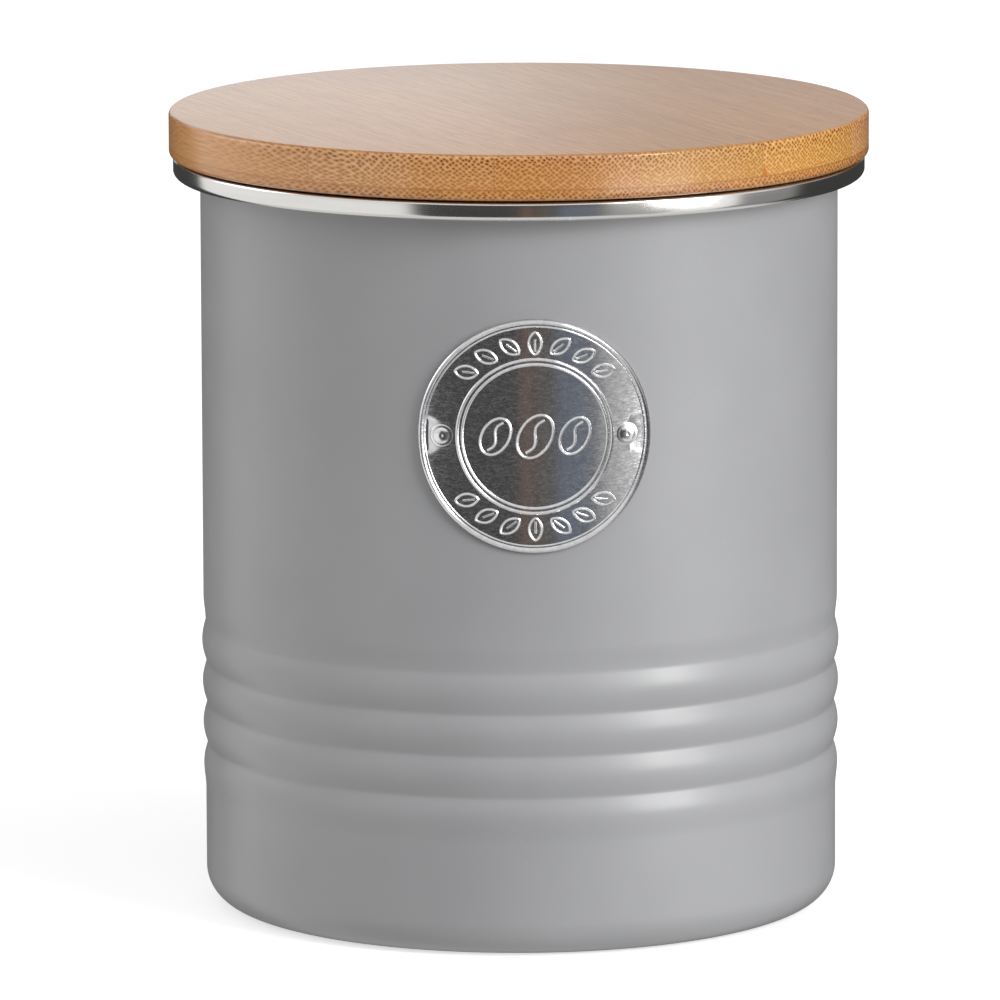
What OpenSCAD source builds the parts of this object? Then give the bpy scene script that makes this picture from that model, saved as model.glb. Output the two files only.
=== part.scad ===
// Kitchen storage tin with a laminated bamboo lid.
// Millimetres. +Z is up, the tin stands on z = 0, its axis is the Z axis and its badge faces -Y.

/* [Tin body] */
// Outside diameter of the plain wall above the beads
body_d = 109.6; // [106:0.1:112]
// Height of the tin with its lid off, up to the top of the steel rim
tin_h = 129.5; // [120:0.1:140]
// Thickness of the steel sheet, in the wall, the base and the rim
sheet_t = 0.5; // [0.4:0.05:0.6]
// Outside radius of the turned-in bottom corner
corner_r = 6; // [4:0.1:6.3]
// Width of the lap-welded side seam at the back
seam_w = 1.8; // [1:0.1:3]

/* [Beads] */
// Number of rolled beads round the wall
bead_count = 4; // [2:1:5]
// Height of one bead
bead_pitch = 7.15; // [6:0.05:8]
// Height of the groove above the uppermost bead
bead_top_z = 49.0; // [44:0.1:56]
// How far a bead's crest stands out of the wall
bead_rise = 0.3; // [0.1:0.05:0.8]
// How far a groove between beads sinks into the wall
bead_dip = 0.45; // [0.1:0.05:0.8]
// How far the rolling draws in the wall's radius, from above the beads to below them
bead_draw = 0.25; // [0:0.05:0.5]

/* [Rim] */
// Outside diameter of the steel rim
rim_d = 118.6; // [116:0.1:119.5]
// Height of the rim's outer band
rim_h = 3.2; // [2.8:0.1:4]
// Depth of the smooth neck that the seal grips
neck_h = 11.5; // [10:0.5:14]

/* [Base] */
// Height of the base panel above the surface that the tin stands on
base_z = 2.6; // [2.2:0.1:3.2]
// Radius at the middle of the upturned seam
seam_r = 46.6; // [46:0.05:46.8]

/* [Lid] */
// Diameter of the lid
lid_d = 120; // [119:0.5:124]
// Gap that stays between the rim and the lid board when the lid is pressed down
lid_gap = 0.3; // [0.1:0.05:0.5]
// Thickness of the lid board
lid_t = 7.8; // [6:0.1:10]
// Thickness of the lower ply
ply_t = 1.9; // [1.5:0.1:3]
// Width of one bamboo strip
strip_w = 23.8; // [18:0.1:28]
// Where one joint of the upper ply lies, measured across the grain from the axis
strip_shift = -4.4; // [-10:0.1:10]
// Direction of the grain, anticlockwise from +X
grain_angle = 114; // [90:1:140]
// Rounding of the lid's top edge
lid_edge_top = 0.8; // [0.4:0.1:1.5]
// Rounding of the lid's bottom edge
lid_edge_bottom = 1.0; // [0.4:0.1:1.5]
// Diameter of the plug that enters the neck
plug_d = 103; // [101:0.5:104]
// Depth of the plug
plug_h = 9.5; // [8.5:0.5:12]

/* [Badge] */
// Diameter of the badge
badge_d = 39.7; // [34:0.1:44]
// Height of the badge's centre
badge_z = 89.5; // [80:0.5:96]
// How far the badge sits to the right of the front, in degrees
badge_turn = 2.6; // [-5:0.1:5]
// Thickness of the badge sheet
badge_t = 0.6; // [0.4:0.1:0.8]
// Height of the rings raised on the badge
badge_relief = 0.35; // [0.2:0.05:0.5]
// Distance between the two rivets
rivet_spacing = 31.2; // [28:0.2:34]
// Diameter of a rivet's head
rivet_head_d = 4.2; // [3:0.1:5]
// Diameter of a rivet's shank
rivet_shank_d = 2.4; // [2:0.1:3]

/* [Hidden] */
UPPER_STRIPS = 6;
LOWER_STRIPS = 5;
$fn = 96;
EPS = 0.01;

body_r = body_d / 2;
wall_r = body_r - sheet_t / 2;     // middle of the wall sheet
inner_r = body_r - sheet_t;
rim_r = rim_d / 2;
lid_z = tin_h + lid_gap;           // underside of the lid board
bend_r = 0.75;                     // radius of a tight bend, at the middle of the sheet
arc_steps = 8;

seam_top = 4.2;                    // top of the wall's upturned leg
curl_z = tin_h - sheet_t * 1.5;    // middle of the wall's outturned flange
curl_r = rim_r - sheet_t * 1.5;    // middle of the curl's outer leg
rim_bend = 1.1 - sheet_t / 2;      // rim's lower bend, at the middle of the sheet
curl_end = tin_h - rim_h + sheet_t / 2 + rim_bend + 0.05;

neck_r = inner_r - sheet_t / 2;    // middle of the rim's neck
strip_joints = [for (i = [-2:2]) strip_shift + i * strip_w];
backing_joints = [for (i = [-1.5:1:1.5]) i * strip_w];

// ---- sheet metal: a path of points down the middle of the sheet, thickened both ways ----

function unit(v) = v / norm(v);
function left_of(v) = [-v[1], v[0]];
function arc(centre, r, from, to) = [
    for (i = [0:arc_steps]) let (a = from + (to - from) * i / arc_steps) centre + r * [cos(a), sin(a)]
];
function side_point(path, i, d) =
    let (last = len(path) - 2,
         before = left_of(unit(path[max(i, 1)] - path[max(i, 1) - 1])),
         after = left_of(unit(path[min(i, last) + 1] - path[min(i, last)])),
         mitre = unit(before + after))
    path[i] + mitre * d / (mitre * before);
function side(path, d) = [for (i = [0:len(path) - 1]) side_point(path, i, d)];
function reversed(points) = [for (i = [len(points) - 1:-1:0]) points[i]];

module sheet(path, t = sheet_t) {
    polygon(concat(side(path, t / 2), reversed(side(path, -t / 2))));
}

// ---- tin body ----

groove_soft = 0.1;                 // rounds the bottom of each groove
groove_lead = 4.5;                 // height over which the wall eases into the top groove
top_groove = 0.75;                 // depth of the top groove, as a share of the others' depth
bead_steps = 14;
last_crest = bead_top_z - bead_pitch * (bead_count - 0.5);
bead_tail = bead_pitch * 0.6;      // height over which the last bead fades into the wall

function hump(s) = (sqrt(pow(sin(180 * s), 2) + groove_soft * groove_soft) - groove_soft)
    / (sqrt(1 + groove_soft * groove_soft) - groove_soft);
// The wall eases into the top groove, which is shallower than the others, and out of the last bead.
function dip_at(z) = bead_top_z - z < bead_pitch / 2 ? bead_dip * top_groove : bead_dip;
function bead_offset(z) =
    z >= bead_top_z ? -dip_at(z) * (1 + cos(180 * (z - bead_top_z) / groove_lead)) / 2 :
    z >= last_crest ? -dip_at(z) + (dip_at(z) + bead_rise) * hump((bead_top_z - z) / bead_pitch) :
    bead_rise * (1 + cos(180 * (last_crest - z) / bead_tail)) / 2;
function draw_at(z) = bead_draw * min(1, max(0, (bead_top_z - z) / (bead_top_z - last_crest + bead_tail)));
function wall_offset(z) = bead_offset(z) - draw_at(z);

lead_heights = [for (i = [0:6]) groove_lead * i / 6];
bead_rows = bead_steps * (bead_count - 0.5);
wall_heights = concat(
    [for (i = [8:-1:1]) last_crest - bead_tail * i / 8],
    [for (i = [bead_rows:-1:1]) bead_top_z - bead_pitch * i / bead_steps],
    [for (h = lead_heights) bead_top_z + h]
);
wall_path = [for (z = wall_heights) [wall_r + wall_offset(z), z]];

shell_path = concat(
    [[seam_r, seam_top]],
    arc([seam_r + bend_r, sheet_t / 2 + bend_r], bend_r, 180, 270),
    arc([body_r - bead_draw - corner_r, corner_r], corner_r - sheet_t / 2, 270, 360),
    wall_path,
    arc([wall_r + bend_r, curl_z - bend_r], bend_r, 180, 90),
    arc([curl_r - bend_r, curl_z - bend_r], bend_r, 90, 0),
    [[curl_r, curl_end]]
);

seam_rise = 0.12;                  // how far the welded lap stands out of the wall
seam_angle = seam_w / body_r * 180 / PI;
seam_path = concat(wall_path, [[wall_r, curl_z - 2]]);

module side_seam() {
    rotate([0, 0, 90 - seam_angle / 2])
        rotate_extrude(angle = seam_angle)
            sheet([for (p = seam_path) p + [seam_rise, 0]]);
}

module rivet_bore(side) {
    at_rivet(side) translate([0, 0, body_r - 3]) cylinder(d = rivet_shank_d, h = 6);
}

module body_shell() {
    color("silver")
    difference() {
        union() {
            rotate_extrude() sheet(shell_path);
            side_seam();
        }
        rivet_bore(-1);
        rivet_bore(1);
    }
}

// ---- base: a pan whose edge folds over the wall's upturned leg ----

pan_r = seam_r - sheet_t;
panel_rise = 0.6;
panel_r = 38;
base_path = concat(
    [[0, base_z + panel_rise], [panel_r - panel_rise, base_z + panel_rise], [panel_r + panel_rise, base_z]],
    arc([pan_r - bend_r, base_z + bend_r], bend_r, 270, 360),
    arc([seam_r, seam_top], sheet_t, 180, 0),
    [[seam_r + sheet_t, base_z + 0.2]]
);

module base_plate() {
    color("gray") rotate_extrude() sheet(base_path);
}

// The fold's inside is half a sheet in radius, and the compound fills most of it.
module base_seal() {
    w = sheet_t * 0.4;
    color("dimgray")
    rotate_extrude()
        translate([seam_r, seam_top])
            polygon([[-w, 0], [w, 0], [w * 0.6, w * 0.8], [-w * 0.6, w * 0.8]]);
}

// ---- rim: neck, top land, outer band and a return crimped under the wall's curl ----

rim_mid_r = rim_r - sheet_t / 2;
rim_mid_z = tin_h - sheet_t / 2;
rim_top_bend = 0.3;
rim_path = concat(
    [[neck_r, tin_h - neck_h]],
    arc([neck_r + bend_r, rim_mid_z - bend_r], bend_r, 180, 90),
    arc([rim_mid_r - rim_top_bend, rim_mid_z - rim_top_bend], rim_top_bend, 90, 0),
    arc([rim_mid_r - rim_bend, tin_h - rim_h + sheet_t / 2 + rim_bend], rim_bend, 0, -90),
    [[body_r + 0.2, tin_h - rim_h + sheet_t / 2]]
);

module rim_ring() {
    color("gainsboro") rotate_extrude() sheet(rim_path);
}

// ---- badge and rivets ----

badge_r = badge_d / 2;
badge_face = body_r + badge_t;
rivet_angle = rivet_spacing / 2 / body_r * 180 / PI;
rivet_head_h = 0.8;
rivet_tail_d = 3.6;
rivet_tail_h = 0.8;
badge_rings = [[badge_r, badge_r - 1.1], [13.3, 12.75], [12.5, 11.95]];

// Turns +Z into the outward direction at the badge's centre.
module at_badge() {
    translate([0, 0, badge_z]) rotate([0, 0, badge_turn]) rotate([90, 0, 0]) children();
}

module at_rivet(side) {
    translate([0, 0, badge_z])
        rotate([0, 0, badge_turn + side * rivet_angle])
            rotate([90, 0, 0]) children();
}

module ring_band(inside, outside) {
    h = badge_d + 2;
    translate([0, 0, badge_z - h / 2])
        difference() {
            cylinder(r = outside, h = h);
            translate([0, 0, -EPS]) cylinder(r = inside, h = h + 2 * EPS);
        }
}

module badge_plate() {
    color("lightgray")
    difference() {
        intersection() {
            ring_band(body_r, badge_face + badge_relief);
            at_badge() cylinder(r = badge_r, h = body_r + 5);
        }
        for (i = [0:2]) intersection() {
            ring_band(badge_face, badge_face + 2);
            at_badge() difference() {
                cylinder(r = badge_rings[i][1], h = body_r + 5);
                if (i < 2) cylinder(r = badge_rings[i + 1][0], h = body_r + 5);
            }
        }
        rivet_bore(-1);
        rivet_bore(1);
    }
}

module dome(d, h) {
    r = (d * d / 4 + h * h) / (2 * h);
    rotate_extrude()
        intersection() {
            translate([0, h - r]) circle(r = r);
            square([d, h]);
        }
}

module rivet(side) {
    seat = sqrt(inner_r * inner_r - rivet_tail_d * rivet_tail_d / 4) - EPS;
    color("whitesmoke")
    at_rivet(side) {
        translate([0, 0, badge_face]) dome(rivet_head_d, rivet_head_h);
        translate([0, 0, seat - EPS]) cylinder(d = rivet_shank_d, h = badge_face - seat + 2 * EPS);
        translate([0, 0, seat]) mirror([0, 0, 1]) dome(rivet_tail_d, rivet_tail_h);
    }
}

// ---- lid ----

// Half section of a disc from z0 to z1 whose rim is rounded below by e0 and above by e1.
module disc_section(r, z0, z1, e0, e1) {
    e = max(e0, e1);
    intersection() {
        translate([0, z0]) square([r, z1 - z0]);
        union() {
            translate([0, z0]) square([r - e, z1 - z0]);
            translate([r - e - EPS, z0 + e0]) square([e + EPS, z1 - z0 - e0 - e1]);
            if (e0 > 0) translate([r - e0, z0 + e0]) circle(r = e0);
            if (e1 > 0) translate([r - e1, z1 - e1]) circle(r = e1);
        }
    }
}

// The space between two neighbouring joints, or outside the first or the last one.
module strip_space(joints, i) {
    low = i == 1 ? -lid_d : joints[i - 2];
    high = i == len(joints) + 1 ? lid_d : joints[i - 1];
    rotate([0, 0, grain_angle - 90])
        translate([low, -lid_d, 0]) cube([high - low, 2 * lid_d, 2 * tin_h]);
}

module lid_strip(i) {
    color("burlywood")
    intersection() {
        rotate_extrude() disc_section(lid_d / 2, lid_z + ply_t, lid_z + lid_t, 0, lid_edge_top);
        strip_space(strip_joints, i);
    }
}

module lid_backing(i) {
    color("tan")
    intersection() {
        rotate_extrude() disc_section(lid_d / 2, lid_z, lid_z + ply_t, lid_edge_bottom, 0);
        strip_space(backing_joints, i);
    }
}

groove_d = plug_d - 3;
groove_low = lid_z - 7.6;
groove_high = lid_z - 2.4;
plug_chamfer = 1;

module lid_plug() {
    low = lid_z - plug_h;
    color("peru")
    rotate_extrude()
        polygon([
            [0, low], [plug_d / 2 - plug_chamfer, low], [plug_d / 2, low + plug_chamfer],
            [plug_d / 2, groove_low], [groove_d / 2, groove_low], [groove_d / 2, groove_high],
            [plug_d / 2, groove_high], [plug_d / 2, lid_z], [0, lid_z]
        ]);
}

seal_gap = 0.08;                   // running clearance in the plug's groove
fin_reach = neck_r - sheet_t / 2 - 0.15;
fin_root = plug_d / 2 + 0.2;
fin_t = 0.55;
fin_lift = 0.7;                    // the fins sweep up, so that they wipe the neck as the lid goes in
fin_pitch = 1.7;

module lid_seal() {
    low = groove_low + seal_gap;
    high = groove_high - seal_gap;
    fins = [for (i = [0:2]) each let (z = low + 0.2 + i * fin_pitch, tip_z = z + fin_lift)
        [[fin_root, z], [fin_reach, tip_z], [fin_reach, tip_z + fin_t / 2], [fin_root, z + fin_t]]
    ];
    color("white")
    rotate_extrude()
        polygon(concat([[groove_d / 2 + seal_gap, low], [fin_root, low]], fins,
            [[fin_root, high], [groove_d / 2 + seal_gap, high]]));
}

body_shell();
base_plate();
base_seal();
rim_ring();
badge_plate();
rivet(-1);  // rivet_left
rivet(1);  // rivet_right
for (i = [1:UPPER_STRIPS]) lid_strip(i);
for (i = [1:LOWER_STRIPS]) lid_backing(i);
lid_plug();
lid_seal();
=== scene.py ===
"""Kitchen storage tin with a bamboo lid: the looks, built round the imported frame.

Lengths are in millimetres until a mesh is made. +Z is up, and the badge faces the camera, which
is on the -Y side.
"""

import math

import bmesh
import bpy
from mathutils import Matrix, Vector


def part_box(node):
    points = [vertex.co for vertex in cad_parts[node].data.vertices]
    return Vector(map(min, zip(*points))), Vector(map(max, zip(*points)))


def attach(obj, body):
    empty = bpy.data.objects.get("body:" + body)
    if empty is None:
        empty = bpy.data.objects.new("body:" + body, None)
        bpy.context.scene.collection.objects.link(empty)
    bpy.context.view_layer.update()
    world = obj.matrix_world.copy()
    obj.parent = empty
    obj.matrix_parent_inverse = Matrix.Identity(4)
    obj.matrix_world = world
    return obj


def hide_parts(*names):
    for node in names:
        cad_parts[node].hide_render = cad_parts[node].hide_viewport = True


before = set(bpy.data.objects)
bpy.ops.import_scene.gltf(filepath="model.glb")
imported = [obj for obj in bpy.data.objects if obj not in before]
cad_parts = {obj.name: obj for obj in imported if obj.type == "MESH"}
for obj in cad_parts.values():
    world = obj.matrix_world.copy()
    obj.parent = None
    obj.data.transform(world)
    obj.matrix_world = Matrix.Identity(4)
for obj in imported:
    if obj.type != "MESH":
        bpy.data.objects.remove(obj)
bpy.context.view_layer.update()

MM = 0.001
TAU = 2 * math.pi
SEGMENTS = 320                               # round the tin
SHARP = math.radians(38)                     # edges steeper than this aren't smoothed
SAME_POINT = 0.001 * MM                      # points nearer than this are one


# ---------------------------------------------------------------- sizes, worked out from the frame

def reach(node, z_from=None, z_to=None):
    """The largest radius of a CAD node, between two heights if they are given."""
    points = [v.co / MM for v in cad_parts[node].data.vertices]
    return max(p.xy.length for p in points
               if (z_from is None or p.z >= z_from) and (z_to is None or p.z <= z_to))


def low(node):
    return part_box(node)[0].z / MM


def high(node):
    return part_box(node)[1].z / MM


SHEET = 0.5                                  # thickness of the steel
SEAM_RISE = 0.12                             # how far the welded lap at the back stands out
SEAM_W = 1.8
TIN_H = high("rim_ring")                     # top of the rim
RIM_R = reach("rim_ring")
BODY_R = reach("body_shell", 90, 100) - SEAM_RISE
WALL_R = BODY_R - SHEET / 2                  # middle of the wall's sheet
CORNER_R = 6.0                               # outside of the turned-in bottom corner
BEND_R = 0.75                                # a tight bend, at the middle of the sheet

BEAD_COUNT = 4
BEAD_PITCH = 7.15
BEAD_TOP = 49.0                              # height of the groove above the uppermost bead
BEAD_RISE = 0.3                              # how far a bead stands out of the plain wall
BEAD_DIP = 0.45                              # how deep the grooves between the beads are
BEAD_DRAW = 0.25                             # how far the rolling draws in the wall
BEAD_TAIL = BEAD_PITCH * 0.6                 # height over which the last bead fades out
TOP_GROOVE = 0.75                            # depth of the top groove, as a share of the others'
GROOVE_LEAD = 4.5                            # height over which the wall eases into the top groove
GROOVE_SOFT = 0.1                            # how rounded the grooves are
LAST_CREST = BEAD_TOP - BEAD_PITCH * (BEAD_COUNT - 0.5)

RIM_H = 3.2                                  # height of the rim's outer band
RIM_TOP_BEND = 0.3
RIM_LOW_BEND = 1.1
NECK_H = TIN_H - low("rim_ring")
HEM_R = 46.6                                 # where the wall turns up inside the base's fold
BASE_Z = low("base_plate") + SHEET / 2
HEM_Z = high("base_plate") - SHEET * 1.5
PANEL_R = 38.0                               # the raised middle of the base
PANEL_RISE = 0.6

LID_R = reach("lid_strip_3")
LID_TOP = high("lid_strip_3")
LID_LOW = low("lid_backing_3")
PLY_Z = low("lid_strip_3")                   # where the two plies meet
EDGE_TOP = 0.8                               # radius of the lid's rounded upper edge
EDGE_BOTTOM = 1.0                            # and of its lower edge
OUTER_CUT = LID_R - 1.5                      # a strip's side beyond this is the lid's edge
GRAIN = math.radians(114)
ALONG = Vector((math.cos(GRAIN), math.sin(GRAIN), 0))
ACROSS = Vector((math.sin(GRAIN), -math.cos(GRAIN), 0))

PLUG_R = reach("lid_plug")
PLUG_LOW = low("lid_plug")
GROOVE_R = PLUG_R - 1.5                      # bottom of the plug's groove, which holds the seal
GROOVE_LOW = LID_LOW - 7.6
GROOVE_HIGH = LID_LOW - 2.4
NECK_R = BODY_R - SHEET * 1.5                # middle of the neck's sheet

BADGE_LOW, BADGE_HIGH = (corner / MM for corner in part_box("badge_plate"))
BADGE_R = (BADGE_HIGH.z - BADGE_LOW.z) / 2
BADGE_Z = (BADGE_HIGH.z + BADGE_LOW.z) / 2
BADGE_TURN = math.radians(2.6)
BADGE_T = 0.6                                # height of the badge's flat face above the wall


# ---------------------------------------------------------------- mesh tools

def new_object(name, verts, faces, material, body, nodes, sharp=SHARP):
    """A piece made from a closed mesh in millimetres, which stands for the CAD nodes, if any."""
    mesh = bpy.data.meshes.new(name)
    mesh.from_pydata([Vector(v) * MM for v in verts], [], faces)
    solid = bmesh.new()
    solid.from_mesh(mesh)
    bmesh.ops.remove_doubles(solid, verts=solid.verts, dist=SAME_POINT)
    bmesh.ops.recalc_face_normals(solid, faces=solid.faces)
    solid.to_mesh(mesh)
    solid.free()
    mesh.shade_smooth()
    mesh.set_sharp_from_angle(angle=sharp)
    obj = bpy.data.objects.new(name, mesh)
    bpy.context.scene.collection.objects.link(obj)
    obj.data.materials.append(material)
    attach(obj, body)
    if nodes:
        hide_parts(*nodes)
    return obj


def arc(centre, r, start, end, steps=10):
    """Points along a circular arc, from one angle to another, in degrees."""
    points = []
    for i in range(steps + 1):
        a = math.radians(start + (end - start) * i / steps)
        points.append((centre[0] + r * math.cos(a), centre[1] + r * math.sin(a)))
    return points


def side(path, d):
    """The path moved sideways by d, to its left."""
    moved = []
    for i, p in enumerate(path):
        a = path[max(i, 1) - 1], path[max(i, 1)]
        b = path[min(i, len(path) - 2)], path[min(i, len(path) - 2) + 1]
        before = (Vector(a[1]) - Vector(a[0])).normalized()
        after = (Vector(b[1]) - Vector(b[0])).normalized()
        left_a, left_b = Vector((-before.y, before.x)), Vector((-after.y, after.x))
        mitre = (left_a + left_b).normalized()
        moved.append(tuple(Vector(p) + mitre * d / mitre.dot(left_a)))
    return moved


def sheet_outline(path, t=SHEET):
    """The closed outline of a sheet whose middle follows the path."""
    return side(path, t / 2) + side(path, -t / 2)[::-1]


def lathe(outline, closed=True, segments=SEGMENTS, start=0.0, turn=TAU):
    """Vertices and faces of an outline of (radius, height) turned about the Z axis."""
    whole = abs(turn - TAU) < 1e-6
    columns = segments if whole else segments + 1
    verts, rows = [], []
    for r, z in outline:
        if r < 1e-6:
            rows.append([len(verts)] * columns)
            verts.append((0, 0, z))
            continue
        rows.append(list(range(len(verts), len(verts) + columns)))
        for j in range(columns):
            a = start + turn * j / segments
            verts.append((r * math.cos(a), r * math.sin(a), z))
    faces = []
    last = len(rows) if closed else len(rows) - 1
    for i in range(last):
        a, b = rows[i], rows[(i + 1) % len(rows)]
        for j in range(segments):
            k = (j + 1) % columns
            ring = [a[j], a[k], b[k], b[j]]
            face = [v for n, v in enumerate(ring) if v != ring[n - 1]]
            if len(face) > 2:
                faces.append(face)
    if not whole:
        faces.append([row[0] for row in rows][::-1])
        faces.append([row[-1] for row in rows])
    return verts, faces


# ---------------------------------------------------------------- material tools

def shade(colour, factors):
    """The colour with its red, green and blue each multiplied by a factor, up to 1."""
    return tuple(min(1.0, c * k) for c, k in zip(colour, factors))


def scaled(colour, factor):
    return shade(colour, (factor,) * 3)


class Nodes:
    """Short calls that add nodes to a node tree and join them up."""

    def __init__(self, tree):
        self.tree = tree

    def add(self, kind, inputs=(), **settings):
        node = self.tree.nodes.new(kind)
        for key, value in settings.items():
            setattr(node, key, value)
        for key, value in dict(inputs).items():
            self.feed(node.inputs[key], value)
        return node

    def feed(self, socket, value):
        if isinstance(value, bpy.types.NodeSocket):
            self.tree.links.new(value, socket)
        else:
            socket.default_value = value

    def math(self, operation, *values):
        return self.add("ShaderNodeMath", enumerate(values), operation=operation).outputs[0]

    def plus(self, a, b):
        return self.math("ADD", a, b)

    def minus(self, a, b):
        return self.math("SUBTRACT", a, b)

    def times(self, a, b):
        return self.math("MULTIPLY", a, b)

    def apart(self, a, b):
        return self.math("ABSOLUTE", self.minus(a, b))

    def vector(self, operation, *values):
        node = self.add("ShaderNodeVectorMath", enumerate(values), operation=operation)
        return node.outputs["Value" if operation in ("DOT_PRODUCT", "LENGTH") else "Vector"]

    def combine(self, x, y, z):
        return self.add("ShaderNodeCombineXYZ", {"X": x, "Y": y, "Z": z}).outputs[0]

    def split(self, vector):
        return self.add("ShaderNodeSeparateXYZ", {"Vector": vector}).outputs

    def noise(self, vector, scale, detail, roughness=0.5):
        inputs = {"Vector": vector, "Scale": scale, "Detail": detail, "Roughness": roughness}
        return self.add("ShaderNodeTexNoise", inputs).outputs["Fac"]

    def between(self, value, low_in, high_in, low_out=0.0, high_out=1.0, smooth=True):
        """The value, carried from one range to another and held at its ends."""
        inputs = {
            "Value": value,
            "From Min": low_in,
            "From Max": high_in,
            "To Min": low_out,
            "To Max": high_out,
        }
        kind = "SMOOTHSTEP" if smooth else "LINEAR"
        return self.add("ShaderNodeMapRange", inputs, interpolation_type=kind).outputs["Result"]

    def mix(self, factor, a, b):
        node = self.add("ShaderNodeMix", data_type="RGBA")
        factor_in, a_in, b_in = node.inputs[0], node.inputs[6], node.inputs[7]
        self.feed(factor_in, factor)
        self.feed(a_in, (*a, 1) if isinstance(a, tuple) else a)
        self.feed(b_in, (*b, 1) if isinstance(b, tuple) else b)
        return node.outputs[2]


class Material(Nodes):
    """The nodes of one new material."""

    def __init__(self, name):
        self.material = bpy.data.materials.new(name)
        self.material.use_nodes = True
        super().__init__(self.material.node_tree)

    def set(self, **values):
        """Gives values to the shader's sockets, or joins nodes to them."""
        for key, value in values.items():
            self.feed(self.tree.nodes["Principled BSDF"].inputs[key.replace("_", " ")], value)

    def place(self):
        """The point on the surface, in millimetres."""
        point = self.add("ShaderNodeTexCoord").outputs["Object"]
        return self.vector("MULTIPLY", point, (1 / MM,) * 3)

    def round_place(self):
        """The point as the distance round the axis, the radius and the height, in millimetres."""
        x, y, z = self.split(self.place())
        radius = self.math("SQRT", self.plus(self.times(x, x), self.times(y, y)))
        angle = self.math("ARCTAN2", y, x)
        return self.times(angle, BODY_R), radius, z

    def bump(self, height, distance, under=None):
        """Relief of the given depth in millimetres."""
        inputs = {"Height": height, "Distance": distance * MM, "Strength": 1.0}
        if under is not None:
            inputs["Normal"] = under
        return self.add("ShaderNodeBump", inputs).outputs[0]

    def brush(self, strength):
        """Stretches reflections across polishing lines that run round the axis."""
        tangent = self.add("ShaderNodeTangent", direction_type="RADIAL", axis="Z").outputs[0]
        self.set(Anisotropic=strength, Anisotropic_Rotation=0.25, Tangent=tangent)


def paint(name, colour, roughness):
    """Satin enamel: fine orange peel, slightly uneven gloss and a few specks of dust."""
    n = Material(name)
    place = n.place()
    cloud = n.between(n.noise(place, 0.035, 3.0), 0.3, 0.7, 0.97, 1.03)
    dust = n.between(n.noise(place, 1.7, 1.0), 0.79, 0.83)
    tint = n.vector("MULTIPLY", colour, n.combine(cloud, cloud, cloud))
    n.set(Base_Color=n.mix(n.times(dust, 0.5), tint, scaled(colour, 1.5)))
    gloss = n.between(n.noise(place, 0.12, 3.0), 0.3, 0.7, roughness - 0.03, roughness + 0.03)
    n.set(Roughness=gloss, IOR=1.5, Coat_Weight=0.12, Coat_Roughness=0.25)
    peel = n.bump(n.noise(place, 1.1, 2.0), 0.006)
    n.set(Normal=n.bump(dust, 0.01, under=peel))
    return n.material


def turned_steel(name, colour, roughness):
    """Bright steel with fine polishing lines that run round the axis."""
    n = Material(name)
    along, radius, height = n.round_place()
    line = 0.05                              # spacing of the polishing lines
    lines = n.combine(
        n.times(along, 0.03),
        n.math("DIVIDE", radius, line),
        n.math("DIVIDE", height, line),
    )
    grain = n.noise(lines, 1.0, 3.0, 0.7)
    smear = n.noise(n.combine(n.times(along, 0.1), radius, height), 0.6, 3.0)
    n.set(Base_Color=n.mix(n.between(smear, 0.35, 0.7, 0.0, 0.25), colour, scaled(colour, 0.82)))
    n.set(Metallic=1.0)
    n.set(Roughness=n.plus(n.between(grain, 0.3, 0.7, -0.03, 0.05), roughness))
    n.brush(0.5)
    n.set(Normal=n.bump(grain, 0.0006))
    return n.material


def badge_steel(name, colour, roughness):
    """Pressed steel brushed from side to side, with small stains."""
    n = Material(name)
    along, radius, height = n.round_place()
    lines = n.combine(n.times(along, 1.4), n.times(radius, 0.5), n.times(height, 4.5))
    grain = n.noise(lines, 1.0, 4.0, 0.7)
    stain = n.noise(n.combine(along, radius, height), 0.9, 4.0, 0.6)
    n.set(Base_Color=n.mix(n.between(stain, 0.4, 0.7, 0.0, 0.5), colour, scaled(colour, 0.72)))
    n.set(Metallic=1.0)
    n.set(Roughness=n.plus(n.between(grain, 0.25, 0.75, -0.06, 0.1), roughness))
    n.brush(0.8)
    n.set(Normal=n.bump(grain, 0.003))
    return n.material


def polished_metal(name, colour, roughness):
    """Bright metal with small scuffs."""
    n = Material(name)
    scuff = n.noise(n.place(), 3.0, 4.0, 0.7)
    n.set(Base_Color=n.mix(n.between(scuff, 0.45, 0.75), colour, scaled(colour, 0.85)))
    n.set(Metallic=1.0)
    n.set(Roughness=n.between(scuff, 0.3, 0.75, roughness - 0.04, roughness + 0.1))
    n.set(Normal=n.bump(scuff, 0.006))
    return n.material


BUNDLE_PITCH = 0.95                          # distance between columns of bundles
BUNDLE_SPREAD = 0.42                         # how far they are from even rows, from 0 to 1
STAIN_H = 1.9
LEFT_PAINTED_LIGHT = 1.4                                   # painted light: how much lighter the lid's edge is made at its left end, for more light from the left
LEFT_PAINTED_LIGHT_FROM = 18.0                             # where this begins, left of the lid's middle


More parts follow.
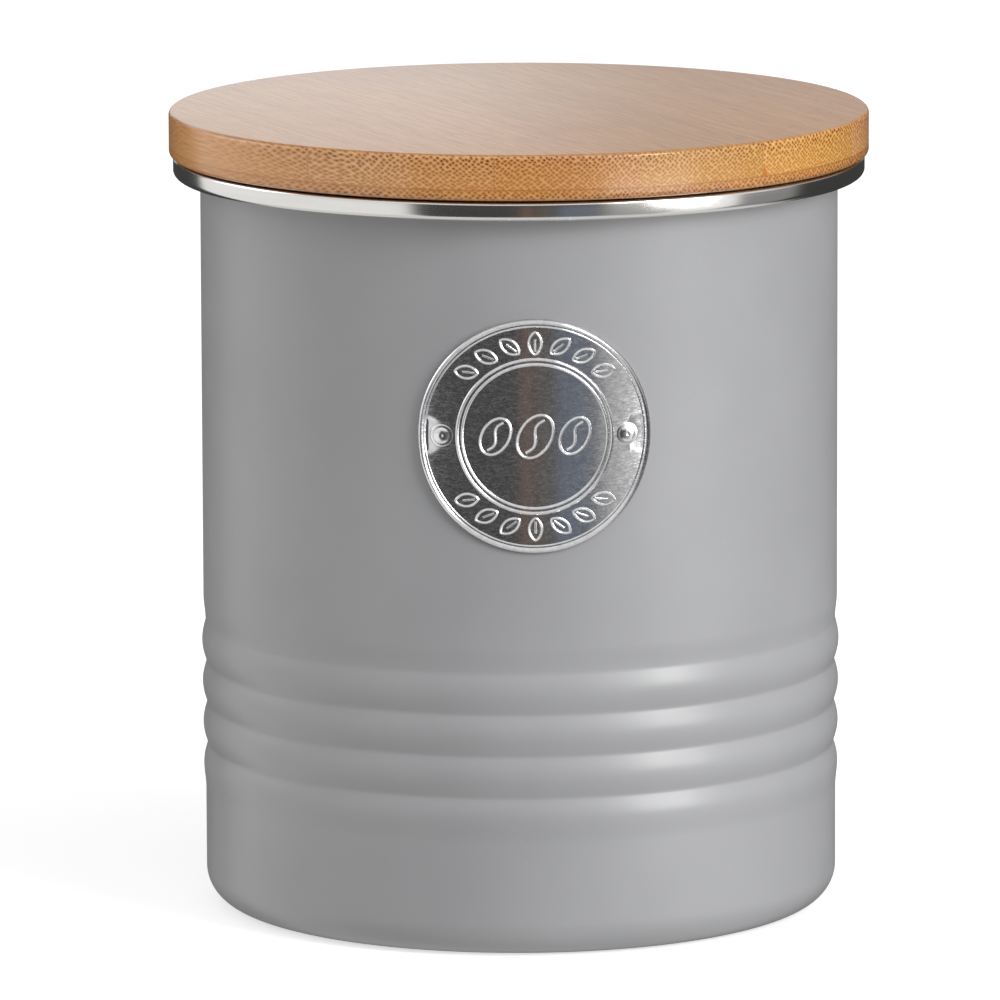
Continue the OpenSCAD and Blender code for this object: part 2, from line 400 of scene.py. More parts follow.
class Bamboo(Material):
    """Bamboo as a solid, with its grain and its bundles of vessels along ALONG.

    light is the colour of the wood on its sides and end grain, and face on its flat faces. shift
    makes each piece's pattern differ from its neighbours'.
    """

    def __init__(self, name, light, face, shift):
        super().__init__(name)
        self.light = light
        self.shift = shift
        place = self.place()
        self.along = self.vector("DOT_PRODUCT", place, tuple(ALONG))
        self.across = self.vector("DOT_PRODUCT", place, tuple(ACROSS))
        self.height = self.split(place)[2]
        normal = self.add("ShaderNodeTexCoord").outputs["Normal"]
        upright = self.math("ABSOLUTE", self.split(normal)[2])
        self.flat = self.between(upright, 0.5, 0.9)
        self.steep = self.minus(1.0, self.flat)
        self.end_grain = self.math("ABSOLUTE", self.vector("DOT_PRODUCT", normal, tuple(ALONG)))
        self.colour = self.mix(self.flat, light, face)

    def tint(self, share, factors):
        """Mixes in the light colour with its red, green and blue multiplied by the factors."""
        self.colour = self.mix(share, self.colour, shade(self.light, factors))

    def grain(self, along_scale, across_scale, offset, detail, roughness=0.5):
        """Noise stretched along the grain."""
        stretch = self.combine(
            self.times(self.along, along_scale),
            self.times(self.across, across_scale),
            self.times(self.height, across_scale),
        )
        place = self.vector("ADD", stretch, (offset, self.shift, offset))
        return self.noise(place, 1.0, detail, roughness)

    def fibres(self):
        """Tints the wood with fine fibres, and its flat faces with blooms, streaks and dashes."""
        fibre = self.grain(0.12, 3.2, 9.0, 4.0, 0.65)
        share = self.between(self.flat, 0.0, 1.0, 0.6, 0.55)
        self.tint(self.times(self.between(fibre, 0.35, 0.7), share), (0.8, 0.7, 0.6))
        bloom = self.between(self.grain(0.04, 0.14, 33.0, 3.0), 0.5, 0.72)
        self.tint(self.times(self.times(bloom, self.flat), 0.4), (0.8, 0.68, 0.85))
        streak = self.between(self.grain(0.06, 0.75, 21.0, 3.0, 0.65), 0.42, 0.68)
        self.tint(self.times(self.times(streak, self.flat), 0.55), (0.72, 0.6, 0.7))
        dash = self.between(self.grain(0.3, 1.5, 61.0, 2.0), 0.64, 0.74)
        self.tint(self.times(self.times(dash, self.flat), 0.6), (0.4, 0.28, 0.25))
        return fibre

    def bundles(self, dense_at, thin_at):
        """Tints the wood with its bundles, dense at one height and sparse at another.

        On end grain the bundles are rows of dots with paler wood between them. Elsewhere they are
        fine dashes, because they weave a little.
        """
        sideways = self.between(self.grain(0.05, 0.1, 0.0, 1.0), 0.0, 1.0, -1.6, 1.6, smooth=False)
        upwards = self.between(self.grain(0.1, 0.16, 50.0, 2.0), 0.0, 1.0, -0.8, 0.8, smooth=False)
        depth = self.apart(dense_at, self.plus(self.height, upwards))
        row = self.plus(depth, self.times(self.times(depth, depth), 0.035))
        column = self.math("DIVIDE", self.plus(self.across, sideways), BUNDLE_PITCH)
        cells = self.combine(
            self.plus(self.plus(column, row), self.shift),
            self.minus(column, row),
            0.0,
        )
        inputs = {"Vector": cells, "Scale": 1.0, "Randomness": BUNDLE_SPREAD}
        spots = self.add("ShaderNodeTexVoronoi", inputs, voronoi_dimensions="2D")
        distance = spots.outputs["Distance"]
        full = abs(dense_at - thin_at)
        radius = self.between(depth, 0.3, full, 0.38, 0.26, smooth=False)
        dot = self.minus(1.0, self.between(distance, self.times(radius, 0.4), radius))
        strong = self.between(depth, 0.5, full, 0.95, 0.42, smooth=False)
        cut = self.times(self.between(self.end_grain, 0.1, 0.65, 0.25, 1.0), self.steep)
        cut = self.plus(cut, self.times(self.flat, 0.22))
        patches = self.between(self.noise(cells, 0.35, 2.0), 0.3, 0.7, 0.65, 1.15)
        dot = self.times(dot, self.times(self.times(strong, cut), patches))
        clear = self.times(self.between(distance, 0.36, 0.66, 0.0, 0.68), cut)
        self.tint(clear, (1.36, 1.72, 3.2))
        self.tint(dot, (0.24, 0.07, 0.0))
        return dot

    def glue_lines(self, joints):
        """Tints the joint between the plies, and those between strips, across the grain."""
        for joint in joints:
            line = self.between(self.apart(self.across, joint), 0.03, 0.12, 0.3, 0.0)
            line = self.times(line, self.between(self.flat, 0.0, 1.0, 1.0, 0.4))
            self.tint(line, (0.5, 0.42, 0.36))
        ply = self.apart(self.height, PLY_Z)
        self.tint(self.between(ply, 0.05, 0.2, 0.5, 0.0), (0.62, 0.46, 0.3))

    def glue_stain(self, at):
        """Darkens a small triangle on the plies' joint, where glue has run."""
        half = self.between(self.height, PLY_Z, PLY_Z + STAIN_H, 1.0, 0.0, smooth=False)
        stain = self.between(self.apart(self.across, at), self.times(half, 0.4), half, 0.8, 0.0)
        self.tint(stain, (0.82, 0.5, 0.22))

    def lacquer(self, fibre, dot):
        """Paints light on the edges at the lid's left end, and puts the colour under a satin coat,
        with a slight relief of the grain.
        """
        # painted light: the edges are made lighter towards the lid's left end, standing in for more
        # light falling there
        pale = self.between(self.across, -LID_R, -LEFT_PAINTED_LIGHT_FROM, LEFT_PAINTED_LIGHT, 1.0, smooth=False)
        pale = self.plus(self.times(pale, self.steep), self.times(self.flat, 1.03))
        self.set(Base_Color=self.vector("MULTIPLY", self.colour, self.combine(pale, pale, pale)))
        self.set(Roughness=self.between(fibre, 0.3, 0.7, 0.38, 0.46), IOR=1.5)
        self.set(Coat_Weight=0.8, Coat_Roughness=0.2)
        relief = self.minus(self.times(fibre, 0.5), dot)
        self.set(Normal=self.bump(relief, 0.02))


def bamboo(name, light, face, dense_at, thin_at, joints=(), shift=0.0, stain_at=None):
    """Lacquered bamboo. joints and stain_at are distances across the grain."""
    n = Bamboo(name, light, face, shift)
    fibre = n.fibres()
    dot = n.bundles(dense_at, thin_at)
    n.glue_lines(joints)
    if stain_at is not None:
        n.glue_stain(stain_at)
    n.lacquer(fibre, dot)
    return n.material


def silicone(name, colour):
    """Translucent rubber with a matt skin."""
    n = Material(name)
    place = n.place()
    cloud = n.between(n.noise(place, 0.3, 3.0), 0.35, 0.7)
    n.set(Base_Color=n.mix(cloud, colour, scaled(colour, 0.94)))
    n.set(Roughness=n.between(n.noise(place, 1.5, 3.0), 0.3, 0.7, 0.42, 0.55), IOR=1.41)
    reach_in = (1.2 * MM, 1.2 * MM, 1.3 * MM)
    n.set(Subsurface_Weight=0.25, Subsurface_Radius=reach_in, Subsurface_Scale=1.0)
    n.set(Normal=n.bump(n.noise(place, 4.0, 2.0), 0.01))
    return n.material


# ---------------------------------------------------------------- tin

def bead_hump(s):
    """A bead's section, from 0 in a groove to 1 on the crest and back, as s goes from 0 to 1."""
    soft = GROOVE_SOFT
    hump = math.sqrt(math.sin(math.pi * s) ** 2 + soft ** 2) - soft
    return hump / (math.sqrt(1 + soft ** 2) - soft)


def wall_offset(z):
    """How far the wall stands out at a height: rolled beads, and the wall drawn in below them."""
    draw = BEAD_DRAW * min(1, max(0, (BEAD_TOP - z) / (BEAD_TOP - LAST_CREST + BEAD_TAIL)))
    dip = BEAD_DIP * TOP_GROOVE if BEAD_TOP - z < BEAD_PITCH / 2 else BEAD_DIP
    if z >= BEAD_TOP:
        return -dip * (1 + math.cos(math.pi * min(1, (z - BEAD_TOP) / GROOVE_LEAD))) / 2
    if z >= LAST_CREST:
        return -dip + (dip + BEAD_RISE) * bead_hump((BEAD_TOP - z) / BEAD_PITCH) - draw
    return BEAD_RISE * (1 + math.cos(math.pi * min(1, (LAST_CREST - z) / BEAD_TAIL))) / 2 - draw


def wall_path(steps=20):
    """Middle of the wall from above the bottom corner to above the beads."""
    bottom = LAST_CREST - BEAD_TAIL
    top = BEAD_TOP + GROOVE_LEAD
    count = round(steps * (top - bottom) / BEAD_PITCH)
    heights = [bottom + (top - bottom) * i / count for i in range(count + 1)]
    return [(WALL_R + wall_offset(z), z) for z in heights]


def body_shell():
    curl_z = TIN_H - SHEET * 1.5
    curl_r = RIM_R - SHEET * 1.5
    path = (
        [(HEM_R, HEM_Z)]
        + arc((HEM_R + BEND_R, SHEET / 2 + BEND_R), BEND_R, 180, 270, 6)
        + arc((BODY_R - BEAD_DRAW - CORNER_R, CORNER_R), CORNER_R - SHEET / 2, 270, 360, 18)
        + wall_path()
        + arc((WALL_R + BEND_R, curl_z - BEND_R), BEND_R, 180, 90, 6)
        + arc((curl_r - BEND_R, curl_z - BEND_R), BEND_R, 90, 0, 6)
        + [(curl_r, TIN_H - RIM_H + SHEET)]
    )
    grey = paint("grey_paint", (0.34, 0.341, 0.348), 0.38)
    verts, faces = lathe(sheet_outline(path))
    new_object("body_wall", verts, faces, grey, "tin", ["body_shell"])

    seam_path = [(r + SEAM_RISE, z) for r, z in wall_path() + [(WALL_R, curl_z - 2)]]
    width = SEAM_W / BODY_R
    back = math.pi / 2
    verts, faces = lathe(sheet_outline(seam_path), segments=4, start=back - width / 2, turn=width)
    new_object("side_seam", verts, faces, grey, "tin", [])
    return grey


def base(grey):
    pan_r, rise = HEM_R - SHEET, PANEL_RISE
    path = (
        [(0, BASE_Z + rise), (PANEL_R - 2 * rise, BASE_Z + rise), (PANEL_R - rise, BASE_Z + rise)]
        + [(PANEL_R + rise, BASE_Z), (PANEL_R + 2 * rise, BASE_Z)]
        + arc((pan_r - BEND_R, BASE_Z + BEND_R), BEND_R, 270, 360, 6)
        + arc((HEM_R, HEM_Z), SHEET, 180, 0, 8)
        + [(HEM_R + SHEET, BASE_Z + 0.2)]
    )
    verts, faces = lathe(sheet_outline(path))
    new_object("base_pan", verts, faces, grey, "tin", ["base_plate"])


def rim():
    mid_r = RIM_R - SHEET / 2
    mid_z = TIN_H - SHEET / 2
    top_bend, low_bend = RIM_TOP_BEND, RIM_LOW_BEND - SHEET / 2
    path = (
        [(NECK_R, TIN_H - NECK_H)]
        + arc((NECK_R + BEND_R, mid_z - BEND_R), BEND_R, 180, 90, 8)
        + arc((mid_r - top_bend, mid_z - top_bend), top_bend, 90, 0, 6)
        + arc((mid_r - low_bend, TIN_H - RIM_H + SHEET / 2 + low_bend), low_bend, 0, -90, 10)
        + [(BODY_R + 0.2, TIN_H - RIM_H + SHEET / 2)]
    )
    steel = turned_steel("rim_steel", (0.78, 0.765, 0.74), 0.16)
    verts, faces = lathe(sheet_outline(path))
    new_object("rim_band", verts, faces, steel, "tin", ["rim_ring"])


# ---------------------------------------------------------------- badge

RINGS = (                                    # radius, half width and height of the raised rings
    (12.22, 0.28, 0.2),
    (13.02, 0.3, 0.22),
    (18.62, 0.18, 0.12),
    (19.32, 0.44, 0.32),
)
BADGE_EDGE = (                               # distance inside BADGE_R, and height, of the edge
    (0.06, 0.5),
    (0.0, 0.4),
    (0.0, 0.12),
    (0.1, 0.02),
)
BADGE_BACK = 0.02                            # height of the badge's back above the wall
BADGE_STEP = 0.35                            # between the mesh's plain rings
BADGE_COLUMNS = 360
RIVET_AT = 15.6                              # distance of each rivet from the badge's centre
RIVET_R = 2.1
DISH_R = 2.9                                 # the shallow dish round each rivet
DISH_DIP = 0.08
EAR_FROM = 14.6                              # where the badge's ends begin to be pulled in
EAR_PULL = (0.5, 0.06)                       # how far, at the left and right ends
LIP_FROM = 18.1                              # where the badge's stiffer lip begins
LIP_YIELD = 0.2                              # how much the lip follows the pull


def on_badge(u, v, h):
    """A point of the badge: u to the right along the wall, v up and h out of the wall."""
    a = -math.pi / 2 + BADGE_TURN + u / BODY_R
    return ((BODY_R + h) * math.cos(a), (BODY_R + h) * math.sin(a), BADGE_Z + v)


def smooth(x):
    x = min(1.0, max(0.0, x))
    return x * x * (3 - 2 * x)


def ear_pull(u, v):
    """How far the badge is pulled in beside its rivets. Its lip is stiffer, and gives way less."""
    out = abs(u) - EAR_FROM
    if out <= 0:
        return 0.0
    pull = EAR_PULL[0 if u < 0 else 1] * (out / 5) ** 2
    half, fade = 1.5 + out * 0.3, 0.7
    pull *= 1 - smooth((abs(v) - half) / fade)
    return pull * (1 - (1 - LIP_YIELD) * smooth((math.hypot(u, v) - LIP_FROM) / fade))


def badge_height(u, v):
    """Height of the badge's face above the wall."""
    r = math.hypot(u, v)
    h = BADGE_T
    for centre, half, rise in RINGS:
        x = abs(r - centre) / half
        if x < 1:
            h += rise * (1 - x ** 1.4)
    h -= ear_pull(u, v)
    dish = math.hypot(abs(u) - RIVET_AT, v) / DISH_R
    if dish < 1 and r < 18.4:
        h -= DISH_DIP * (1 + math.cos(math.pi * dish)) / 2
    return h


def badge_plate(steel):
    radii = [BADGE_STEP * i for i in range(1, int(BADGE_R / BADGE_STEP))]
    for centre, half, _ in RINGS:
        radii = [r for r in radii if abs(r - centre) > half + 0.05]
        radii += [centre + half * i / 4 for i in range(-4, 5)]
    radii = [r for r in sorted(radii) if r < BADGE_R - 0.08]
    verts, rows = [on_badge(0, 0, BADGE_T)], []

    def ring(r, height):
        rows.append(range(len(verts), len(verts) + BADGE_COLUMNS))
        for j in range(BADGE_COLUMNS):
            u, v = r * math.cos(TAU * j / BADGE_COLUMNS), r * math.sin(TAU * j / BADGE_COLUMNS)
            verts.append(on_badge(u, v, height(u, v)))

    for r in radii:
        ring(r, badge_height)
    for inset, h in BADGE_EDGE:
        ring(BADGE_R - inset, lambda u, v: h * (1 - ear_pull(u, v) / BADGE_T))
    for r in radii[-5::-5]:
        ring(r, lambda u, v: BADGE_BACK)
    verts.append(on_badge(0, 0, BADGE_BACK))

    faces = []
    for j in range(BADGE_COLUMNS):
        k = (j + 1) % BADGE_COLUMNS
        faces.append([0, rows[0][j], rows[0][k]])
        faces.append([len(verts) - 1, rows[-1][k], rows[-1][j]])
        for a, b in zip(rows, rows[1:]):
            faces.append([a[j], b[j], b[k], a[k]])
    new_object("badge_disc", verts, faces, steel, "tin", ["badge_plate"])


def ridge(path, width, rise, closed):
    """Vertices and faces of a rounded ridge that follows a path drawn on the badge."""
    verts, faces = [], []
    half, root = width / 2, 0.15
    flank = [(half, -root), (half, 0.0), (half * 0.55, rise * 0.62)]
    shape = [(-x, h) for x, h in flank] + [(0, rise)] + flank[::-1]
    count = len(path)
    for i, p in enumerate(path):
        a = path[(i - 1) % count] if closed or i > 0 else p
        b = path[(i + 1) % count] if closed or i < count - 1 else p
        t = (Vector(b) - Vector(a)).normalized()
        for x, h in shape:
            u, v = p[0] - t.y * x, p[1] + t.x * x
            verts.append(on_badge(u, v, BADGE_T + h))
    w = len(shape)
    for i in range(count if closed else count - 1):
        a, b = i * w, (i + 1) % count * w
        for j in range(w):
            k = (j + 1) % w
            faces.append([a + j, b + j, b + k, a + k])
    if not closed:
        faces.append(list(range(w)))
        faces.append([(count - 1) * w + j for j in range(w)][::-1])
    return verts, faces


def placed(points, at, turn, scale=1.0):
    """The points scaled, turned and moved."""
    c, s = math.cos(turn) * scale, math.sin(turn) * scale
    return [(at[0] + x * c - y * s, at[1] + x * s + y * c) for x, y in points]


def bean(length, width):
    """Outline and crease of a coffee bean that lies along X."""
    round_steps, steps = 40, [-1 + i / 8 for i in range(17)]
    turns = [TAU * i / round_steps for i in range(round_steps)]
    outline = [(length / 2 * math.cos(a), width / 2 * math.sin(a)) for a in turns]
    crease = [(x * length / 2 * 0.82, width * 0.13 * math.sin(math.pi * x)) for x in steps]
    return outline, crease


def leaf(length, width):
    """Outline and rib of a leaf that lies along X."""
    steps = [-1 + i / 8 for i in range(17)]
    upper = [(length / 2 * x, width / 2 * (1 - x * x) ** 0.8) for x in steps]
    outline = upper + [(x, -y) for x, y in upper[-2:0:-1]]
    rib = [(length * (-0.36 + 0.09 * i), 0) for i in range(7)]
    return outline, rib


BEAN = (7.2, 4.9)                            # length and width
BEANS = ((-6.6, 0.92), (0.0, 1.08), (6.6, 0.92))  # distance right of the middle, and size
BEAN_TURN = math.radians(60)
LEAF = (3.9, 2.1)
LEAVES_R = 15.75                             # radius of the two arcs of leaves
LEAF_STEP = 15.5                             # degrees between leaves
LEAF_LEAN = math.radians(38)


def ornament(steel):
    """Three coffee beans in the middle, and an arc of seven leaves above and below."""
    verts, faces = [], []

    def draw(path, width, rise, closed):
        v, f = ridge(path, width, rise, closed)
        faces.extend([[i + len(verts) for i in face] for face in f])
        verts.extend(v)

    for x, size in BEANS:
        outline, crease = bean(*BEAN)
        draw(placed(outline, (x, 0), BEAN_TURN, size), 0.5, 0.22, True)
        draw(placed(crease, (x, 0), BEAN_TURN, size), 0.5, 0.22, False)

    for middle in (90, 270):
        for k in range(-3, 4):
            at = math.radians(middle - k * LEAF_STEP)
            lean = 0 if k == 0 else math.copysign(LEAF_LEAN, k)
            outline, rib = leaf(*LEAF)
            centre = (LEAVES_R * math.cos(at), LEAVES_R * math.sin(at))
            draw(placed(outline, centre, at - lean), 0.46, 0.2, True)
            draw(placed(rib, centre, at - lean), 0.4, 0.16, False)
    sharp = math.radians(60)
    new_object("badge_ornament", verts, faces, steel, "tin", [], sharp=sharp)


def rivet(side_sign, metal):
    """A low domed head in the badge, a shank and a formed tail inside the wall."""
    face = BODY_R + BADGE_T - 0.3
    middle = [(0, 0.6), (0.12, 0.605)]
    dome = [(0.3 + i / 10, 0.66 - 0.26 * (i / 10) ** 2) for i in range(11)]
    flange = [(1.4, 0.36), (1.5, 0.37), (1.8, 0.3), (RIVET_R - 0.06, 0.18), (RIVET_R, 0.08)]
    inside = BODY_R - SHEET - 0.03 - face
    shank = [(RIVET_R, 0.0), (1.2, 0.0), (1.2, inside)]
    tail = [(1.8, inside), (1.6, inside - 0.5), (1.0, inside - 0.78), (0, inside - 0.8)]
    verts, faces = lathe(middle + dome + flange + shank + tail, closed=False, segments=64)
    place = (
        Matrix.Translation((0, 0, BADGE_Z))
        @ Matrix.Rotation(BADGE_TURN + side_sign * RIVET_AT / BODY_R, 4, "Z")
        @ Matrix.Rotation(math.pi / 2, 4, "X")
        @ Matrix.Translation((0, 0, face))
    )
    name = "left" if side_sign < 0 else "right"
    verts = [tuple(place @ Vector(v)) for v in verts]
    new_object(f"rivet_{name}_head", verts, faces, metal, "tin", [f"rivet_{name}"])


# ---------------------------------------------------------------- lid

def strip_outline(r, low_cut, high_cut, steps):
    """Plan of a disc of radius r between two cuts across the grain, as points (across, along)."""
    def angle(cut):
        return math.acos(max(-1.0, min(1.0, cut / r)))
    near, far = angle(high_cut), angle(low_cut)
    right = [near + (far - near) * i / steps for i in range(steps + 1)]
    points = [(r * math.cos(a), r * math.sin(a)) for a in right]
    return points + [(x, -y) for x, y in points[::-1]]


def strip_cuts(node):
    """Where a strip begins and ends, measured across the grain."""
    reaches = [(v.co / MM).dot(ACROSS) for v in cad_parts[node].data.vertices]
    return min(reaches), max(reaches)


def lid_piece(name, node, levels, material):
    """One glued strip of the lid, as wide as the CAD's. levels are its edge's (radius, height)."""
    cuts = strip_cuts(node)
    verts, faces, rows = [], [], []
    for r, z in levels:
        low_cut, high_cut = (c if abs(c) < OUTER_CUT else math.copysign(r, c) for c in cuts)
        outline = strip_outline(r, low_cut, high_cut, 60)
        rows.append(range(len(verts), len(verts) + len(outline)))
        verts.extend([tuple(ACROSS * x - ALONG * y + Vector((0, 0, z))) for x, y in outline])
    count = len(rows[0])
    for a, b in zip(rows, rows[1:]):
        for j in range(count):
            k = (j + 1) % count
            faces.append([a[j], b[j], b[k], a[k]])
    faces.append(list(rows[0]))
    faces.append(list(rows[-1])[::-1])
    return new_object(name, verts, faces, material, "lid", [node], sharp=math.radians(30))


# Strip 2 is a little paler as painted reflection. Strips 5 and 6, on the right, are lighter partly
# in their own tone and partly as painted light where the key lamp falls.
STRIPS = (                                   # colour, and brightness of the flat face
    ((0.49, 0.22, 0.055), 1.0),
    ((0.5, 0.23, 0.062), 0.97),
    ((0.49, 0.214, 0.052), 1.03),
    ((0.49, 0.229, 0.043), 0.98),
    ((0.555, 0.262, 0.053), 1.03),
    ((0.61, 0.285, 0.084), 0.99),
)
STRIP_FACE = (0.51, 0.235, 0.058)
BACKING = (0.47, 0.2, 0.045)
BACKINGS = (0.96, 1.02, 0.94, 1.0, 0.97)     # brightness of each strip
STAINED = 5                                  # the strip on which glue has run
THIN_ABOVE = 1.2                             # bundles are sparse this far above the plies' joint


def joints_of(node):
    """Where a strip is glued to its neighbours, measured across the grain."""
    return [cut for cut in strip_cuts(node) if abs(cut) < OUTER_CUT]


def lid():
    pieces = []
    top_edge = arc((LID_R - EDGE_TOP, LID_TOP - EDGE_TOP), EDGE_TOP, 0, 90, 8)
    levels = [(LID_R, PLY_Z)] + top_edge
    for i, (light, bright) in enumerate(STRIPS, 1):
        node = f"lid_strip_{i}"
        joints = joints_of(node)
        stain_at = joints[0] + 0.4 if i == STAINED else None
        face = scaled(STRIP_FACE, bright)
        thin_at = PLY_Z + THIN_ABOVE
        wood = bamboo(f"bamboo_strip_{i}", light, face, LID_TOP, thin_at, joints, i * 3.7, stain_at)
        pieces.append(lid_piece(f"strip_{i}", node, levels, wood))

    low_edge = arc((LID_R - EDGE_BOTTOM, LID_LOW + EDGE_BOTTOM), EDGE_BOTTOM, -90, 0, 8)
    levels = low_edge + [(LID_R, PLY_Z)]
    for i, bright in enumerate(BACKINGS, 1):
        node = f"lid_backing_{i}"
        light = scaled(BACKING, bright)
        shift = 40 + i * 2.9
        wood = bamboo(f"bamboo_backing_{i}", light, light, LID_LOW, PLY_Z, joints_of(node), shift)
        pieces.append(lid_piece(f"backing_{i}", node, levels, wood))
    return pieces


def plug():
    outline = (
        [(0, PLUG_LOW)]
        + arc((PLUG_R - 1, PLUG_LOW + 1), 1, -90, 0, 8)
        + [(PLUG_R, GROOVE_LOW), (GROOVE_R, GROOVE_LOW), (GROOVE_R, GROOVE_HIGH)]
        + [(PLUG_R, GROOVE_HIGH), (PLUG_R, LID_LOW), (0, LID_LOW)]
    )
    pale = (0.48, 0.25, 0.1)
    wood = bamboo("bamboo_plug", pale, pale, PLUG_LOW, LID_LOW, shift=90)
    verts, faces = lathe(outline, closed=False)
    new_object("plug", verts, faces, wood, "lid", ["lid_plug"])


FIN_COUNT = 3
FIN_PITCH = 1.7
FIN = (                                      # a fin's section: from the root or the tip, and height
    ("root", 0.0, 0.0),
    ("root", 0.5, 0.25),
    ("tip", -0.15, 0.66),
    ("tip", 0.0, 0.78),
    ("tip", 0.0, 0.95),
    ("tip", -0.15, 0.98),
    ("root", 0.5, 0.72),
    ("root", 0.0, 0.55),
)


def seal():
    """The silicone ring with its fins, which slope up and out to the neck."""
    seal_low, seal_high = low("lid_seal"), high("lid_seal")
    radius = {"root": PLUG_R + 0.2, "tip": reach("lid_seal")}
    inside = GROOVE_R + 0.08
    outline = [(inside, seal_low), (radius["root"], seal_low)]
    for i in range(FIN_COUNT):
        z = seal_low + 0.2 + i * FIN_PITCH
        outline += [(radius[start] + out, z + up) for start, out, up in FIN]
    outline += [(radius["root"], seal_high), (inside, seal_high)]
    verts, faces = lathe(outline)
    rubber = silicone("silicone", (0.8, 0.81, 0.79))
    new_object("seal_ring", verts, faces, rubber, "seal", ["lid_seal"])


# ---------------------------------------------------------------- stage, light and camera

# Brightness of the parts of the room that the tin reflects. Only the tin sees it: the camera sees
# white. The parts are given by their bearing in degrees: 0 is over the camera, and it grows to
# the right.
ROOM = 0.8
DARK = 0.05                                  # below the horizon, and on the flags
FRONT = 0.06                                 # behind the camera, up to a little above the horizon
PANEL = 0.95                                 # the wide panels on both sides
SIDE = 0.27                                  # between the right panel and the right flag
TABLE = 0.75
BEHIND_LEFT, BEHIND_RIGHT = 1.02, 0.48       # the two walls behind the tin
CEILING_FRONT, CEILING_BACK = 0.9, 0.35
LEFT_FLAG, RIGHT_FLAG = (-165, -132), (105, 165)
LEFT_PANEL, RIGHT_PANEL = (-132, -36), (20, 79)
FRONT_WALL, RIGHT_SIDE = (-36, 29), (79, 105)
PANEL_STEPS = ((22, 34, 0.38), (49, 58, 0.62))  # where the right panel brightens, and by how much
STREAKS = (                                  # from, to and colour of faint reflections in front
    (0.8, 3.6, (0.24, 0.14, 0.1)),
    (5.5, 11, (0.13, 0.11, 0.09)),
    (12.5, 25, (0.15, 0.175, 0.225)),
)


def floor():
    n = Material("floor")
    n.set(Base_Color=(0.8, 0.8, 0.8, 1), Roughness=0.9, Specular_IOR_Level=0.1)
    n.set(Emission_Color=(1, 1, 1, 1), Emission_Strength=0.5)
    half = 8000 * MM
    corners = [(-half, -half, 0), (half, -half, 0), (half, half, 0), (-half, half, 0)]
    mesh = bpy.data.meshes.new("floor")
    mesh.from_pydata(corners, [], [[0, 1, 2, 3]])
    obj = bpy.data.objects.new("floor", mesh)
    bpy.context.scene.collection.objects.link(obj)
    obj.data.materials.append(n.material)
    obj.visible_glossy = False
    obj.visible_diffuse = False


def studio():
    """A bright room, dark in front, with a wide panel on each side and a white table."""
    world = bpy.data.worlds.new("studio")
    bpy.context.scene.world = world
    world.use_nodes = True
    n = Nodes(world.node_tree)
    x, y, z = n.split(n.add("ShaderNodeTexCoord").outputs["Generated"])
    bearing = n.times(n.math("ARCTAN2", x, n.times(y, -1.0)), 180 / math.pi)
    behind = n.times(n.math("ARCTAN2", x, y), 180 / math.pi)
    colour = None

    def band(part, soft=3):
        start, end = part
        rise = n.between(bearing, start - soft, start + soft)
        fall = n.between(bearing, end - soft, end + soft, 1.0, 0.0)
        return n.times(rise, fall)

    def under(height, soft):
        return n.between(z, height - soft, height + soft, 1.0, 0.0)

    def grey(value):
        return n.combine(value, value, value)

    def put(share, brightness):
        nonlocal colour
        colour = n.mix(share, colour, (brightness,) * 3)

    below = under(0.0, 0.03)
    walls = n.between(behind, -0.5, 1.2, BEHIND_LEFT, BEHIND_RIGHT)
    colour = n.mix(n.between(y, 0.0, 0.25), (ROOM,) * 3, grey(walls))
    ceiling = n.between(y, -0.25, 0.25, CEILING_FRONT, CEILING_BACK)
    colour = n.mix(n.between(z, 0.4, 0.6), colour, grey(ceiling))
    put(below, DARK)
    put(n.times(band(FRONT_WALL), under(0.34, 0.06)), FRONT)
    put(n.times(n.plus(band(LEFT_FLAG), band(RIGHT_FLAG)), under(0.3, 0.05)), DARK)
    near, far = (n.times(n.between(bearing, *ends), share) for *ends, share in PANEL_STEPS)
    right_panel = n.times(n.plus(near, far), band(RIGHT_PANEL, 4))
    put(n.times(n.plus(band(LEFT_PANEL), right_panel), below), PANEL)
    put(n.times(band(RIGHT_SIDE, 4), below), SIDE)
    for start, end, tint in STREAKS:
        colour = n.mix(n.times(band((start, end), 1.0), below), colour, tint)
    put(under(-0.65, 0.1), TABLE)
    put(n.add("ShaderNodeLightPath").outputs["Is Camera Ray"], 1.0)
    n.feed(world.node_tree.nodes["Background"].inputs["Color"], colour)


MIDDLE = 0.07                                # height of the tin's middle, in metres


def softbox(name, bearing, elevation, distance, size, power):
    """An area light that faces the middle of the tin. Its distance and size are in metres."""
    data = bpy.data.lights.new(name, "AREA")
    data.shape = "RECTANGLE"
    data.size, data.size_y = size
    data.energy = power
    obj = bpy.data.objects.new(name, data)
    bpy.context.scene.collection.objects.link(obj)
    b, e = math.radians(bearing), math.radians(elevation)
    out = Vector((math.sin(b) * math.cos(e), -math.cos(b) * math.cos(e), math.sin(e)))
    obj.location = out * distance + Vector((0, 0, MIDDLE))
    obj.visible_camera = False
    obj.rotation_mode = "QUATERNION"
    obj.rotation_quaternion = out.to_track_quat("Z", "Y")
    return obj


def shine_on(light, pieces, state):
    """With INCLUDE, the light reaches only the pieces, and with EXCLUDE, everything but them."""
    receivers = bpy.data.collections.new(f"{light.name}_receivers")
    for piece in pieces:
        receivers.objects.link(piece)
    for item in receivers.collection_objects:
        item.light_linking.link_state = state
    light.light_linking.receiver_collection = receivers


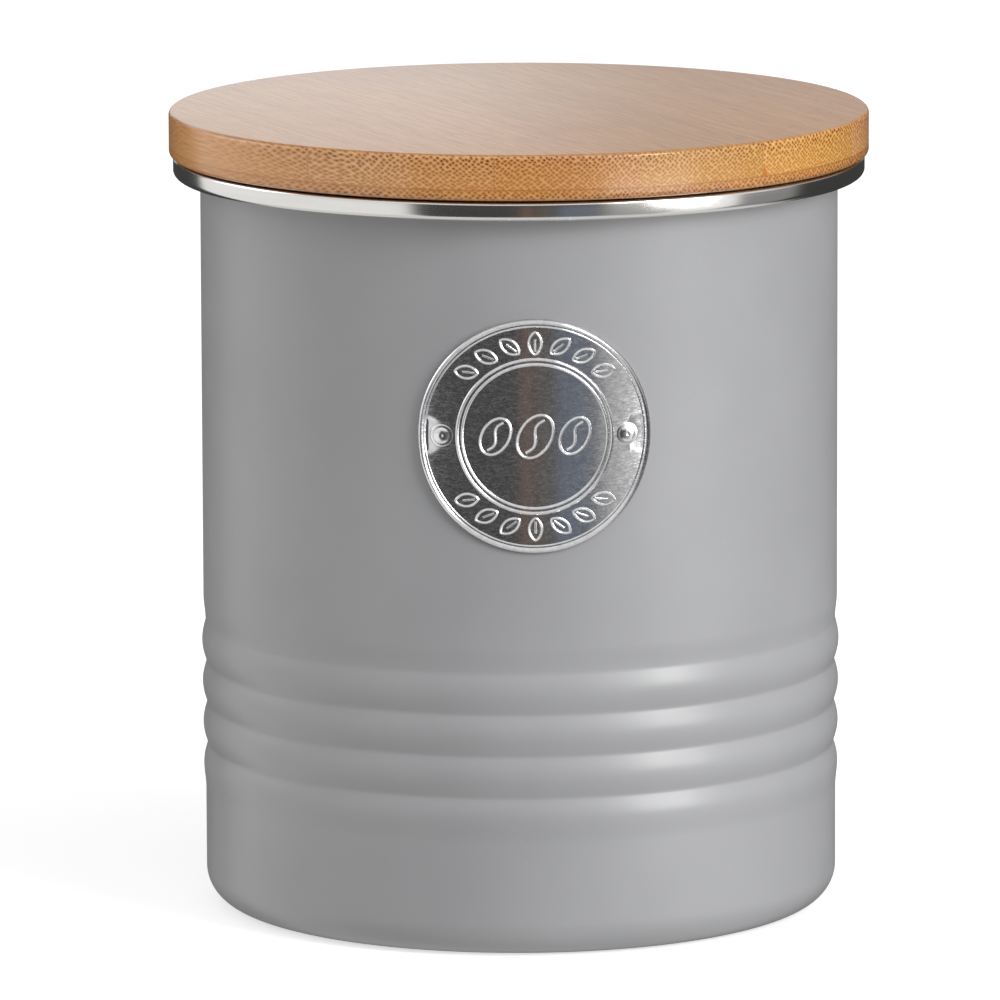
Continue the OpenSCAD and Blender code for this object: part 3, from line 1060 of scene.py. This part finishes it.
def lights(lid_pieces):
    """A key light from the right and two weaker lights.

    For the lid, whose lacquered top would mirror it from behind, the key light is replaced by one
    without a mirror image, and a small low one whose mirror image shows on the lid's edge.
    """
    key_settings = (55, 13, 1.6, (0.6, 0.8), 15)
    key = softbox("key", *key_settings)
    shine_on(key, lid_pieces, "EXCLUDE")
    lid_key = softbox("lid_key", *key_settings)
    lid_key.visible_glossy = False
    shine_on(lid_key, lid_pieces, "INCLUDE")
    lid_gloss = softbox("lid_gloss", 41, -3.2, 0.6, (0.3, 0.09), 0.35)
    lid_gloss.visible_diffuse = False
    shine_on(lid_gloss, lid_pieces, "INCLUDE")
    softbox("high", 46, 34, 1.4, (0.4, 0.4), 5)
    softbox("left", -105, 24, 1.5, (0.8, 0.8), 3)


# The camera was fitted to the ellipses and edges of the tin in the photograph.
CAMERA_AT = (-0.00343, -1.8855, 0.3913)      # in metres
CAMERA_PITCH = math.radians(9.69)            # how far it looks down
CAMERA_ROLL = math.radians(0.2)
CAMERA_LENS = 399.4


def camera():
    data = bpy.data.cameras.new("camera")
    data.lens = CAMERA_LENS
    data.sensor_width = 36.0
    data.clip_start, data.clip_end = 0.1, 50.0
    obj = bpy.data.objects.new("camera", data)
    bpy.context.scene.collection.objects.link(obj)
    pitch = Matrix.Rotation(math.pi / 2 - CAMERA_PITCH, 4, "X")
    roll = Matrix.Rotation(-CAMERA_ROLL, 4, "Z")
    obj.matrix_world = Matrix.Translation(CAMERA_AT) @ pitch @ roll
    bpy.context.scene.camera = obj


def build():
    """Makes every piece, and returns those of the lid's two plies."""
    grey = body_shell()
    base(grey)
    rim()
    steel = badge_steel("badge_steel", (0.74, 0.74, 0.75), 0.2)
    badge_plate(steel)
    ornament(steel)
    metal = polished_metal("rivet_metal", (0.85, 0.85, 0.85), 0.2)
    for side_sign in (-1, 1):
        rivet(side_sign, metal)
    lid_pieces = lid()
    plug()
    seal()
    compound = paint("seam_compound", (0.1, 0.1, 0.1), 0.6)
    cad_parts["base_seal"].data.materials.clear()
    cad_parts["base_seal"].data.materials.append(compound)
    return lid_pieces


lights(build())
floor()
studio()
camera()
bpy.context.scene.view_settings.view_transform = "Standard"
